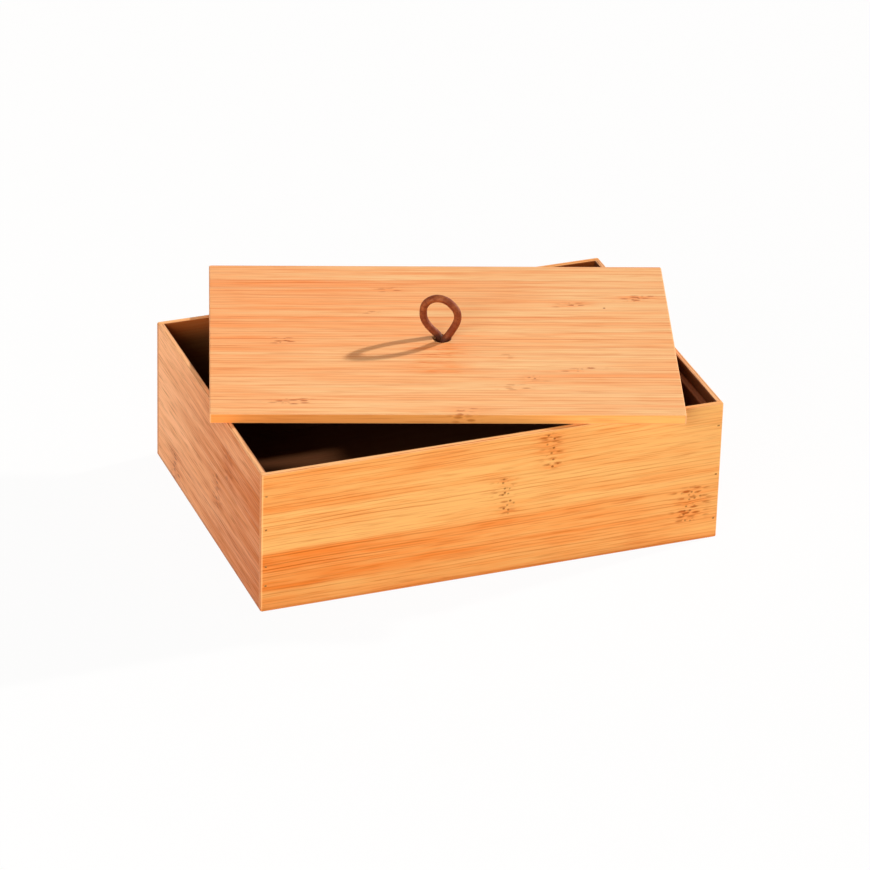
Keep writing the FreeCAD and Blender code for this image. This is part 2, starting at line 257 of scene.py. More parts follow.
# Distances along the grain between which a knuckle's effects fade, in reaches
FLECK_FADE = (0.3, 1.1)
STROKE_FADE = (0.7, 2.7)
HALO_FADE = (0.0, 4.5)
PATCH_SHOWN = (0.30, 0.66)
# How squarely a face looks along an axis: for an end or a side, and for an eased edge
FACE_SQUARE = (0.70, 0.90)
EASED_SQUARE = (0.985, 0.90)
PORE_SHOWN = (0.50, 0.66)
# Faces inside the box, which get painted light just under the rim and painted shade deeper down: how
# far behind the middle they look, how squarely up, and depths under the rim
INSIDE_BEHIND = (-0.02, -0.05)
INSIDE_UP = (0.5, 0.9)
LEDGE_DEPTHS = (0.004, 0.006)
GLOW_DEPTHS = (0.001, 0.013)
# The clear coat: its gloss, how much rougher it is on short fibres and streaks, and how much
# smoother between them
BAMBOO_GLOSS = 0.14
DASH_ROUGH = 0.10
STREAK_ROUGH = 0.08
GROUND_SMOOTHER = 0.06
# Relief: how deep each effect is sunk, then the bump's strength and depth
LINE_SUNK = 0.4
DASH_SUNK = 0.3
FLECK_SUNK = 0.2
JOINT_SUNK = 0.6
BAMBOO_BUMP = (0.30, 0.00010)

# Leather: lumps per metre, detail and roughness of the noise, the noise between which each effect
# comes up, its share, and the bump
HIDE_PATCHES = (260.0, 260.0, 260.0)
HIDE_CREASES = (900.0, 900.0, 1500.0)
HIDE_PATCH_NOISE = (3.0, 0.6)
HIDE_CREASE_NOISE = (3.0, 0.65)
RUBBED = (0.42, 0.70)
CREASED = (0.56, 0.74)
CREASE_SHARE = 0.45
HIDE_PORE_EDGE = 0.16
HIDE_PORE_SHARE = 0.45
# Heights above the lid and share of the painted shade on the cord at the hole
HOLE_SHADE_HEIGHTS = (LID_HIGH.z + 0.0034, LID_HIGH.z + 0.0006)
HOLE_SHADE_SHARE = 0.75
POLISHED = (0.35, 0.75)
HIDE_ROUGHER, HIDE_SMOOTHER = 0.10, 0.06
HIDE_GLOSS = 0.30
CREASE_RELIEF, PORE_RELIEF = 0.6, 0.5
HIDE_BUMP = (0.55, 0.00012)

# Steel: lumps per metre, detail and roughness of the noise, where the stain comes up, and how
# metallic and rough the heads are without and with it
STEEL_BLOTCHES = (1500.0, 1500.0, 1500.0)
STEEL_SCRATCHES = (6000.0, 500.0, 6000.0)
BLOTCH_NOISE = (3.0, 0.6)
STAINED = (0.36, 0.58)
STEEL_METAL = (0.25, 0.05)
STEEL_SMOOTHER, STAIN_ROUGHER = 0.12, 0.15
STEEL_BUMP = (0.3, 0.00004)

# Stage: the way each lamp lies from the box, its distance and width, and the colours of the light
KEY_WAY, KEY_DISTANCE = (0.893, 0.155, 0.422), 3.0
KEY_ANGLE = math.radians(2.5)
FILL_WAY, FILL_DISTANCE, FILL_WIDTH = (-0.664, -0.664, 0.342), 2.2, 1.3
TOP_WAY, TOP_DISTANCE, TOP_WIDTH = (0.05, 0.05, 1.0), 2.0, 1.2
KEY_LIGHT = (1.0, 0.97, 0.93)
FILL_LIGHT = (1.0, 1.0, 1.0)
TOP_LIGHT = (1.0, 0.74, 0.50)
ROOM_LIGHT = (1.0, 0.72, 0.48, 1.0)
WHITE = (1.0, 1.0, 1.0, 1.0)
SENSOR_WIDTH = 36.0
CLIP_START, CLIP_END = 0.05, 50.0
# The floor reaches this far, lies a hair under the box and is faintly mottled
FLOOR_REACH = 6.0
FLOOR_DROP = 0.0001
FLOOR_LUMPS = (40.0, 40.0, 40.0)
FLOOR_MOTTLE = (0.3, 0.7, 0.0, 0.3)
FLOOR_ROUGHNESS = 0.9

# Steps of the drawn cord round it and along each stretch between its points
CORD_ROUND_STEPS = 6
CORD_LENGTH_STEPS = 10


# Settings that a user would change

def linear(text):
    """Linear colour with alpha of a hex colour as a screen shows it."""
    parts = [int(text[i:i + 2], 16) / 255 for i in (0, 2, 4)]
    flat = [p / 12.92 if p <= 0.04045 else ((p + 0.055) / 1.055) ** 2.4 for p in parts]
    return (*flat, 1.0)


def colour(name, description, text):
    """A colour setting with a hex default."""
    return FloatVectorProperty(
        name=name, description=description, default=linear(text), size=4, subtype="COLOR",
        min=0.0, max=1.0,
    )


def length(name, description, metres):
    """A length setting in metres."""
    return FloatProperty(
        name=name, description=description, default=metres, min=0.0, unit="LENGTH", precision=5
    )


def share(name, description, value):
    """A setting between nothing and all."""
    return FloatProperty(
        name=name, description=description, default=value, min=0.0, max=1.0, subtype="FACTOR"
    )


def turn(name, description, degrees):
    """An angle setting, written in degrees."""
    return FloatProperty(
        name=name, description=description, default=math.radians(degrees), subtype="ANGLE"
    )


def amount(name, description, value):
    """A plain number setting."""
    return FloatProperty(name=name, description=description, default=value, min=0.0)


class LongWallSettings(bpy.types.PropertyGroup):
    """Finish of the front and back walls."""
    pale: colour("Pale bamboo", "Lightest tone of the strips", "FFC272")
    deep: colour("Deep bamboo", "Deepest tone of the strips", "F88E38")
    line: colour("Fibre", "Colour of the dark fibre lines", "CC5C06")
    stroke: colour("Strokes", "Colour of the strokes beside the cane's knuckles", "B8540A")
    mark: colour("Knuckle", "Colour of the flecks at the cane's knuckles", "8E3A00")
    # Paler eased edges in the rim colour are a painted highlight
    rim: colour("Edge highlight", "Colour of the eased edges", "FFC488")
    side: colour("Rim, low end", "Colour of the rim and the lower edge at the low end", "FFC88E")
    side_end: colour("Rim, high end", "Colour of the rim and the lower edge at the high end", "FFBE7A")
    end: colour("End grain", "Colour of the cut ends", "C8804A")
    strip: length("Strip width", "Width of the pressed strips", 0.0200)
    edge: length("First joint", "Height of the lowest joint between strips", 0.0105)
    spacing: length("Fibre spacing", "Distance between the long fibre lines", 0.0019)
    run: length("Fibre length", "Length of a fibre line", 0.0850)
    lines: share("Fibre lines", "How dark the long fibre lines are", 1.0)
    dashes: share("Short fibres", "How dark the short fibres are", 0.34)
    joints: share("Joints", "How dark the joints between strips are", 0.15)
    mottle: share("Mottle", "How uneven the tone is", 0.36)
    eased: share("Highlight strength", "How pale the eased edges are", 0.50)
    roughness: share("Roughness", "Roughness of the clear coat", 0.46)


class ShortWallSettings(bpy.types.PropertyGroup):
    """Finish of the left and right walls."""
    pale: colour("Pale bamboo", "Lightest tone of the strips", "FFB97E")
    deep: colour("Deep bamboo", "Deepest tone of the strips", "CA6A18")
    line: colour("Fibre", "Colour of the dark fibre lines", "8E4414")
    stroke: colour("Strokes", "Colour of the strokes beside the cane's knuckles", "90491F")
    mark: colour("Knuckle", "Colour of the flecks at the cane's knuckles", "5E2E14")
    # Paler eased edges in the rim colour are a painted highlight
    rim: colour("Edge highlight", "Colour of the eased edges", "FFC79A")
    side: colour("Rim, low end", "Colour of the rim and the lower edge at the low end", "FFC690")
    side_end: colour("Rim, high end", "Colour of the rim and the lower edge at the high end", "FFC28C")
    end: colour("End grain", "Colour of the cut ends", "D89058")
    strip: length("Strip width", "Width of the pressed strips", 0.0200)
    edge: length("First joint", "Height of the lowest joint between strips", 0.0185)
    spacing: length("Fibre spacing", "Distance between the long fibre lines", 0.0016)
    run: length("Fibre length", "Length of a fibre line", 0.0700)
    lines: share("Fibre lines", "How dark the long fibre lines are", 0.62)
    dashes: share("Short fibres", "How dark the short fibres are", 0.42)
    joints: share("Joints", "How dark the joints between strips are", 0.12)
    mottle: share("Mottle", "How uneven the tone is", 0.20)
    eased: share("Highlight strength", "How pale the eased edges are", 0.50)
    roughness: share("Roughness", "Roughness of the clear coat", 0.48)


class LidSettings(bpy.types.PropertyGroup):
    """Finish of the lid."""
    pale: colour("Pale bamboo", "Lightest tone of the strips", "FFCE94")
    deep: colour("Deep bamboo", "Deepest tone of the strips", "FF9A52")
    line: colour("Fibre", "Colour of the dark fibre lines", "DA6E2A")
    stroke: colour("Strokes", "Colour of the strokes beside the cane's knuckles", "B85412")
    mark: colour("Knuckle", "Colour of the flecks at the cane's knuckles", "9C400C")
    # Paler eased edges in the rim colour are a painted highlight
    rim: colour("Edge highlight", "Colour of the eased edges", "FFC690")
    side: colour("Side, low end", "Colour of the long sides at the low end", "FF9C44")
    side_end: colour("Side, high end", "Colour of the long sides at the high end", "FFB860")
    end: colour("End grain", "Colour of the cut ends", "E8944E")
    strip: length("Strip width", "Width of the glued strips", 0.0075)
    edge: length("First joint", "Place of one joint across the lid", 0.0064)
    spacing: length("Fibre spacing", "Distance between the fibre lines", 0.0022)
    run: length("Fibre length", "Length of a fibre line", 0.1100)
    lines: share("Fibre lines", "How dark the long fibre lines are", 0.92)
    dashes: share("Short fibres", "How dark the short fibres are", 0.36)
    joints: share("Joints", "How dark the joints between strips are", 0.95)
    mottle: share("Mottle", "How uneven the tone is", 0.32)
    eased: share("Highlight strength", "How pale the eased edges are", 0.35)
    roughness: share("Roughness", "Roughness of the clear coat", 0.44)


class InnerSettings(bpy.types.PropertyGroup):
    """Finish of the bottom, the cleats and the walls' inner faces, whose inside colours are painted
    light near the rim and painted shade deeper in the box.
    """
    pale: colour("Pale bamboo", "Lightest tone of the strips", "EFB070")
    deep: colour("Deep bamboo", "Deepest tone of the strips", "D98A48")
    line: colour("Fibre", "Colour of the dark fibre lines", "9A5526")
    stroke: colour("Strokes", "Colour of the strokes beside the cane's knuckles", "8A4716")
    mark: colour("Knuckle", "Colour of the flecks at the cane's knuckles", "55290F")
    # Paler eased edges in the rim colour are a painted highlight
    rim: colour("Edge highlight", "Colour of the eased edges", "F5BE86")
    side: colour("Side, low end", "Colour of the narrow sides at the low end", "EDB47C")
    side_end: colour("Side, high end", "Colour of the narrow sides at the high end", "EDB47C")
    end: colour("End grain", "Colour of the cut ends", "C88850")
    # Painted light near the rim, and painted shade deeper in the box and on the cleats
    glow: colour("Inside, at the rim", "Painted light inside the long walls, near the rim", "9A481A")
    shade: colour("Inside", "Painted shade on the bamboo deeper in the box", "4E2411")
    ledge: colour("Cleats", "Painted shade on the cleats inside the box", "7A4230")
    strip: length("Strip width", "Width of the pressed strips", 0.0200)
    edge: length("First joint", "Place of one joint across the board", 0.0050)
    spacing: length("Fibre spacing", "Distance between the fibre lines", 0.0020)
    run: length("Fibre length", "Length of a fibre line", 0.0450)
    lines: share("Fibre lines", "How dark the long fibre lines are", 0.55)
    dashes: share("Short fibres", "How dark the short fibres are", 0.30)
    joints: share("Joints", "How dark the joints between strips are", 0.20)
    mottle: share("Mottle", "How uneven the tone is", 0.35)
    eased: share("Highlight strength", "How pale the eased edges are", 0.50)
    roughness: share("Roughness", "Roughness of the sanded face", 0.58)


class PullSettings(bpy.types.PropertyGroup):
    """Size and finish of the leather pull."""
    diameter: length("Cord diameter", "Thickness of the leather cord", 0.0036)
    cut: length("Cord length", "Length of the cord from tail to tail", 0.2184)
    hide: colour("Hide", "Main colour of the leather", "8A3C14")
    worn: colour("Worn hide", "Colour where the leather is rubbed", "B0602E")
    # The dark hide also paints the shade on the cord at the hole
    dark: colour("Dark hide and hole shade", "Colour in the folds and pores and at the hole", "2A0F06")
    pore: length("Pore size", "Distance between the pores of the grain", 0.00045)
    roughness: share("Roughness", "Roughness of the hide", 0.58)


class BradSettings(bpy.types.PropertyGroup):
    """Finish of the brads."""
    steel: colour("Steel", "Colour of the bare steel", "D89A50")
    stain: colour("Stain", "Colour of the stain on the heads", "B87430")
    roughness: share("Roughness", "Roughness of the dulled steel", 0.50)


class StageSettings(bpy.types.PropertyGroup):
    """Camera, lights and floor."""
    azimuth: turn("View azimuth", "Turn of the camera about the box", -21.127)
    elevation: turn("View elevation", "Height of the camera above the horizon", 28.864)
    roll: turn("View roll", "Tilt of the camera about its own axis", 1.655)
    lens: amount("Focal length", "Focal length on a sensor 36 mm wide, in millimetres", 209.55)
    place: FloatVectorProperty(
        name="Camera place", description="Where the camera stands", size=3,
        default=(-0.75271, -1.94803, 1.18322), subtype="TRANSLATION", unit="LENGTH",
    )
    key: amount("Key strength", "Strength of the low sun from the right", 3.5)
    fill: amount("Fill power", "Power of the large soft lamp at the front left, in watts", 34.0)
    top: amount("Top power", "Power of the soft lamp overhead, in watts", 5.5)
    ambient: share("Room light", "Strength of the light from all round", 0.17)
    floor: colour("Floor", "Colour of the pale floor", "F4F2F0")
    shadow: share("Shadow depth", "How much of the box's shadow the white floor keeps", 0.05)


class BambooBoxSettings(bpy.types.PropertyGroup):
    """All settings of the box and its stage."""
    long_walls: PointerProperty(type=LongWallSettings)
    short_walls: PointerProperty(type=ShortWallSettings)
    lid: PointerProperty(type=LidSettings)
    inner: PointerProperty(type=InnerSettings)
    pull: PointerProperty(type=PullSettings)
    brads: PointerProperty(type=BradSettings)
    stage: PointerProperty(type=StageSettings)


# Node trees

class Nodes:
    """Adds nodes to one tree. An input takes a plain value or another node's socket."""

    def __init__(self, tree):
        self.tree = tree

    def feed(self, socket, value):
        if isinstance(value, bpy.types.NodeSocket):
            self.tree.links.new(value, socket)
        else:
            socket.default_value = value

    def add(self, kind, inputs=None, **settings):
        node = self.tree.nodes.new(kind)
        for key, value in settings.items():
            setattr(node, key, value)
        for key, value in (inputs or {}).items():
            self.feed(node.inputs[key], value)
        return node

    def math(self, operation, first, second=0.0, clamp=False):
        inputs = {0: first, 1: second}
        return self.add("ShaderNodeMath", inputs, operation=operation, use_clamp=clamp).outputs[0]

    def product(self, first, second):
        return self.math("MULTIPLY", first, second)

    def total(self, first, second, clamp=False):
        return self.math("ADD", first, second, clamp)

    def less(self, first, second):
        return self.math("SUBTRACT", first, second)

    def most(self, first, second):
        return self.math("MAXIMUM", first, second)

    def swing(self, value, reach):
        """A value from 0 to 1, taken about its middle and scaled."""
        return self.product(self.less(value, 0.5), reach)

    def step(self, value, low, high, bottom=0.0, top=1.0):
        """Smooth rise of value from low to high; it falls where low is the larger."""
        ends = {"Value": value, "From Min": low, "From Max": high, "To Min": bottom, "To Max": top}
        return self.add("ShaderNodeMapRange", ends, interpolation_type="SMOOTHSTEP").outputs["Result"]

    def mix(self, factor, first, second):
        return self.add("ShaderNodeMix", {0: factor, 6: first, 7: second}, data_type="RGBA").outputs[2]

    def split(self, vector):
        return self.add("ShaderNodeSeparateXYZ", {0: vector}).outputs

    def join(self, x, y, z):
        return self.add("ShaderNodeCombineXYZ", {0: x, 1: y, 2: z}).outputs[0]

    def reordered(self, vector, order):
        """A vector with its axes in the given order."""
        axes = self.split(vector)
        return self.join(*(axes["XYZ".index(axis)] for axis in order))

    def vector(self, operation, first, second=(0.0, 0.0, 0.0), output="Vector"):
        inputs = {0: first, 1: second}
        return self.add("ShaderNodeVectorMath", inputs, operation=operation).outputs[output]

    def turned_back(self, vector, spin, origin=(0.0, 0.0, 0.0)):
        """A vector as seen from a frame that lies at an origin and is turned by spin."""
        inputs = {"Vector": vector, "Location": origin, "Rotation": spin}
        return self.add("ShaderNodeMapping", inputs, vector_type="TEXTURE").outputs[0]

    def noise(self, vector, detail=2.0, roughness=0.5, scale=None):
        """Soft noise, with lumps of size 1 or as many to the metre as scale says."""
        if scale:
            vector = self.vector("MULTIPLY", vector, scale)
        inputs = {"Vector": vector, "Scale": 1.0, "Detail": detail, "Roughness": roughness}
        return self.add("ShaderNodeTexNoise", inputs).outputs["Fac"]

    def chance(self, number):
        """Chance value and colour that belong to a number."""
        return self.add("ShaderNodeTexWhiteNoise", {"W": number}, noise_dimensions="1D").outputs

    def placed(self, tree, inputs):
        return self.add("ShaderNodeGroup", inputs, node_tree=tree).outputs

    def bump(self, shader, height, strength, distance):
        """Gives a shader a fine relief."""
        inputs = {"Strength": strength, "Distance": distance, "Height": height}
        self.feed(shader.inputs["Normal"], self.add("ShaderNodeBump", inputs).outputs[0])


def shared_group(name, vectors, values, outputs):
    """Makes a function that fills a shader node group one that makes the group once and returns it."""
    sockets = [
        *((label, "INPUT", "NodeSocketVector") for label in vectors),
        *((label, "INPUT", "NodeSocketFloat") for label in values),
        *((label, "OUTPUT", "NodeSocketFloat") for label in outputs),
    ]

    def wrap(fill):
        @wraps(fill)
        def group():
            tree = bpy.data.node_groups.get(name)
            if tree is None:
                tree = bpy.data.node_groups.new(name, "ShaderNodeTree")
                for label, way, kind in sockets:
                    tree.interface.new_socket(label, in_out=way, socket_type=kind)
                n = Nodes(tree)
                fill(n, n.add("NodeGroupInput").outputs, n.add("NodeGroupOutput").inputs)
            return tree
        return group
    return wrap


@shared_group(
    "Bamboo strips", ("Board",), ("Width", "First Joint", "Seed", "Joint Width"),
    ("Place", "Tone", "Joint"),
)
def bamboo_strips(n, given, out):
    """Group: glued strips across a board, each with a tone of its own, and the joints between them."""
    along, across = n.split(given["Board"])[:2]
    waver = n.swing(n.noise(given["Board"], scale=JOINT_WAVER_SCALE), JOINT_WAVER)
    place = n.less(n.total(across, waver), given["First Joint"])
    place = n.math("DIVIDE", place, given["Width"])
    seed = n.total(n.math("FLOOR", place), given["Seed"])
    n.feed(out["Place"], place)
    n.feed(out["Tone"], n.chance(seed)["Value"])
    part = n.math("FRACT", place)
    gap = n.product(n.math("MINIMUM", part, n.less(1.0, part)), given["Width"])
    line = n.step(gap, given["Joint Width"], 0.0)
    nearest = n.total(n.math("ROUND", place), given["Seed"])
    broken = n.join(n.product(along, JOINT_BREAKS), n.product(nearest, ROW_STEP), 0.0)
    shown = n.step(n.noise(broken, *BREAK_NOISE), *JOINT_SHOWN, JOINT_LEAST, 1.0)
    n.feed(out["Joint"], n.product(line, shown))


@shared_group(
    "Bamboo fibre", ("Board",), ("Spacing", "Length", "Seed"),
    ("Line", "Dash", "Mottle", "Streak", "Drift"),
)
def bamboo_fibre(n, given, out):
    """Group: long fibre lines, short fibres, soft mottle, streaks and slow drift along a board."""
    along, across, depth = n.split(given["Board"])
    across = n.total(across, n.product(depth, GRAIN_LEAN))
    lengths = n.math("DIVIDE", along, given["Length"])
    start = n.product(given["Seed"], BOARD_SHIFT)

    def lumps(run, width, layer, detail, roughness):
        """Noise in lumps along the grain, of this run in fibre lengths and this width in metres."""
        place = n.total(n.product(lengths, 1.0 / run), start)
        return n.noise(n.join(place, n.product(across, 1.0 / width), layer), detail, roughness)

    row = n.math("DIVIDE", across, given["Spacing"])
    row = n.total(row, n.swing(lumps(*WAVER_LUMPS), LINE_WAVER))
    number = n.total(n.math("FLOOR", row), n.product(given["Seed"], BOARD_ROWS))
    place, weight = n.split(n.chance(number)["Color"])[:2]
    off = n.less(n.math("FRACT", row), n.step(place, 0.0, 1.0, *LINE_PLACES))
    off = n.product(n.math("ABSOLUTE", off), given["Spacing"])
    strength = n.step(weight, *LINE_CHANCE, *LINE_STRENGTHS)
    line = n.product(n.step(off, LINE_HALF_WIDTH, 0.0), strength)
    broken = n.join(n.total(lengths, start), n.product(number, ROW_STEP), 0.0)
    n.feed(out["Line"], n.product(line, n.step(n.noise(broken, *BREAK_NOISE), *LINE_SHOWN)))
    for effect, (shape, shown) in FIBRE_EFFECTS.items():
        n.feed(out[effect], n.step(lumps(*shape), *shown))


@shared_group(
    "Bamboo knuckle", ("Board",), ("Along", "Across", "Half Width", "Reach"),
    ("Fleck", "Stroke", "Halo"),
)
def bamboo_knuckle(n, given, out):
    """Group: one knuckle of the cane on a strip: dark flecks in a zigzag, strokes and a deeper tone."""
    along, across, depth = n.split(given["Board"])
    zigzag = n.join(n.product(across, ZIGZAGS), n.product(given["Along"], KNUCKLE_SHIFT), 0.0)
    zigzag = n.swing(n.noise(zigzag, detail=1.0), n.product(given["Reach"], ZIGZAG_REACH))
    off = n.math("ABSOLUTE", n.less(n.less(along, given["Along"]), zigzag))
    aside = n.math("ABSOLUTE", n.less(across, given["Across"]))
    strip = n.step(aside, *(n.product(given["Half Width"], end) for end in STRIP_ENDS))
    inward = n.total(across, n.product(depth, GRAIN_LEAN))

    def within(nearest, farthest):
        """Mask that falls off between two distances along the grain, in reaches."""
        ends = (n.product(given["Reach"], end) for end in (farthest, nearest))
        return n.product(n.step(off, *ends), strip)

    def ovals(run, width, radius):
        """Drawn-out spots of chance strength, one in each cell of this length and width."""
        place = n.join(n.product(along, 1.0 / run), n.product(inward, 1.0 / width), 0.0)
        cells = n.add("ShaderNodeTexVoronoi", {"Vector": place, "Scale": 1.0}, voronoi_dimensions="2D")
        chance = n.split(cells.outputs["Color"])[0]
        spot = n.step(cells.outputs["Distance"], radius, OVAL_CORE * radius)
        return n.product(spot, n.step(chance, *OVAL_CHANCE))

    n.feed(out["Fleck"], n.product(ovals(*FLECK_CELL), within(*FLECK_FADE)))
    n.feed(out["Stroke"], n.product(ovals(*STROKE_CELL), within(*STROKE_FADE)))
    patches = n.step(n.noise(given["Board"], scale=PATCH_SCALE), *PATCH_SHOWN)
    n.feed(out["Halo"], n.product(patches, within(*HALO_FADE)))


@shared_group("Bamboo ends", ("Facing", "Board"), (), ("End", "Side", "Eased", "Pores"))
def bamboo_ends(n, given, out):
    """Group: masks of a board's ends, sides and eased edges, from the way a face points, and pores. The
    eased edges' mask places a painted highlight.
    """
    x, y, z = n.split(n.vector("ABSOLUTE", given["Facing"]))
    n.feed(out["End"], n.step(x, *FACE_SQUARE))
    n.feed(out["Side"], n.step(y, *FACE_SQUARE))
    n.feed(out["Eased"], n.step(n.most(n.most(x, y), z), *EASED_SQUARE))
    pores = n.noise(given["Board"], roughness=0.6, scale=PORE_SCALE)
    n.feed(out["Pores"], n.step(pores, *PORE_SHOWN))


@shared_group("Box inside", ("Place", "Facing"), (), ("Inside", "Depth"))
def box_inside(n, given, out):
    """Group: mask of the faces that look into the box, which get painted shade, and how far they lie
    below the painted light at the rim.
    """
    flat = n.vector("MULTIPLY", given["Place"], (1.0, 1.0, 0.0))
    outward = n.vector("DOT_PRODUCT", flat, given["Facing"], "Value")
    depth = n.less(RIM_HEIGHT, n.split(given["Place"])[2])
    ledge = n.product(n.step(n.split(given["Facing"])[2], *INSIDE_UP), n.step(depth, *LEDGE_DEPTHS))
    n.feed(out["Inside"], n.most(n.step(outward, *INSIDE_BEHIND), ledge))
    n.feed(out["Depth"], n.step(depth, *GLOW_DEPTHS))


# Materials

def fresh_material(name):
    """A new material with one Principled shader: the material, its nodes and the shader."""
    material = bpy.data.materials.new(name)
    material.use_nodes = True
    nodes = Nodes(material.node_tree)
    shader = next(x for x in material.node_tree.nodes if x.type == "BSDF_PRINCIPLED")
    return material, nodes, shader


def knuckle_marks(n, board, knuckles, pins):
    """Flecks, strokes and deeper tone of all the knuckles on a board; pin marks count as flecks."""
    marks = {"Fleck": 0.0, "Stroke": 0.0, "Halo": 0.0}
    for along, across, half_width, reach, *weights in knuckles:
        knuckle = n.placed(bamboo_knuckle(), {
            "Board": board, "Along": along, "Across": across, "Half Width": half_width, "Reach": reach,
        })
        for kind, weight in zip(marks, weights):
            marks[kind] = n.most(marks[kind], n.product(knuckle[kind], weight))
    for along, across, radius in pins:
        away = n.vector("MULTIPLY", board, (1.0, 1.0, 0.0))
        away = n.vector("LENGTH", n.vector("SUBTRACT", away, (along, across, 0.0)), output="Value")
        marks["Fleck"] = n.most(marks["Fleck"], n.step(away, radius, PIN_CORE * radius))
    return marks.values()


def strip_depth(n, strips, ramp, tones):
    """How deep the tones of a board's strips are: as listed from the lowest strip up, or by chance."""
    if not tones:
        depth = n.total(n.product(strips["Tone"], CHANCE_TONE), n.product(ramp, -TONE_LEAN))
        return n.total(depth, TONE_LEAN)
    depth = 0.0
    # The lowest strip lies under the first joint, which is at place 0
    for number, (first, last) in enumerate(tones, -1):
        above = n.step(strips["Place"], number - JOINT_BLEND, number + JOINT_BLEND)
        own = n.total(n.product(ramp, last - first), first)
        depth = n.total(depth, n.product(above, n.less(own, depth)))
    return depth


def bamboo_material(
    name, look, order, knuckles, seed, tones=None, shades=None, pins=(), lid_frame=False
):
    """Bamboo board with its grain along the first axis of order and its strips along the second.

    Walls list their tones, and a board seen in the box is painted with light at the rim and with shade
    deeper down.
    """
    material, n, shader = fresh_material(name)
    coords = n.add("ShaderNodeTexCoord").outputs
    place, facing = coords["Object"], coords["Normal"]
    height = n.split(place)[2]
    if shades:
        inside = n.placed(box_inside(), {"Place": place, "Facing": facing})
    if lid_frame:
        spin = (0.0, 0.0, LID_TURN)
        place, facing = n.turned_back(place, spin, LID_CENTRE), n.turned_back(facing, spin)
    board, facing = n.reordered(place, order), n.reordered(facing, order)

    fleck, stroke, halo = knuckle_marks(n, board, knuckles, pins)
    bent = n.swing(n.noise(board, scale=GRAIN_BEND_SCALE), n.product(halo, GRAIN_BEND))
    grain = n.vector("ADD", board, n.join(0.0, bent, 0.0))
    strips = n.placed(bamboo_strips(), {
        "Board": board, "Width": look.strip, "First Joint": look.edge, "Seed": seed,
        "Joint Width": JOINT_HALF_WIDTH,
    })
    fibre = n.placed(bamboo_fibre(), {
        "Board": grain, "Spacing": look.spacing, "Length": look.run, "Seed": seed,
    })
    ends = n.placed(bamboo_ends(), {"Facing": facing, "Board": board})
    ramp = n.add("ShaderNodeMapRange", {
        "Value": n.split(board)[0], "From Min": -RAMP_REACH, "From Max": RAMP_REACH,
    }).outputs["Result"]

    tone = strip_depth(n, strips, ramp, tones)
    for effect, spread in (("Streak", STREAK_SPREAD), ("Drift", DRIFT_SPREAD), ("Mottle", look.mottle)):
        tone = n.total(tone, n.swing(fibre[effect], spread))
    tone = n.total(tone, n.product(halo, HALO_SPREAD), clamp=True)
    lines = n.product(tone, DEEP_LINES * look.lines)
    lines = n.product(fibre["Line"], n.total(lines, (1.0 - DEEP_LINES) * look.lines))
    if tones:
        lines = n.product(lines, n.total(ends["Side"], 1.0))
    pores = n.mix(n.product(ends["Pores"], PORE_SHARE), look.end, look.line)
    layers = [
        (n.product(ends["Side"], SIDE_SHARE), n.mix(ramp, look.side, look.side_end)),
        (n.math("MINIMUM", lines, 1.0), look.line),
        (n.product(fibre["Dash"], look.dashes), look.line),
        (n.product(strips["Joint"], look.joints), look.line),
        # Painted highlight on the eased edges
        (n.product(ends["Eased"], look.eased), look.rim),
        (n.product(stroke, STROKE_SHARE), look.stroke),
        (n.product(fleck, FLECK_SHARE), look.mark),
        (n.product(ends["End"], END_SHARE), pores),
    ]
    # Painted shade along the foot of a wall
    if tones:
        layers.append((n.step(height, *FOOT_SHADE_HEIGHTS, 0.0, FOOT_SHADE_SHARE), look.line))
    # Faces inside the box: painted light at the rim and painted shade deeper down
    if shades:
        layers.append((n.product(inside["Inside"], INSIDE_SHADE_SHARE), n.mix(inside["Depth"], *shades)))
    tint = n.mix(tone, look.pale, look.deep)
    for cover, paint in layers:
        tint = n.mix(cover, tint, paint)
    n.feed(shader.inputs["Base Color"], tint)
    shader.inputs["Specular IOR Level"].default_value = BAMBOO_GLOSS

    rough = n.total(n.product(fibre["Dash"], DASH_ROUGH), n.product(fibre["Streak"], STREAK_ROUGH))
    n.feed(shader.inputs["Roughness"], n.total(rough, look.roughness - GROUND_SMOOTHER))
    relief = 1.0
    for mask, sunk in (
        (fibre["Line"], LINE_SUNK), (fibre["Dash"], DASH_SUNK), (fleck, FLECK_SUNK),
        (strips["Joint"], JOINT_SUNK),
    ):
        relief = n.less(relief, n.product(mask, sunk))
    n.bump(shader, relief, *BAMBOO_BUMP)
    return material


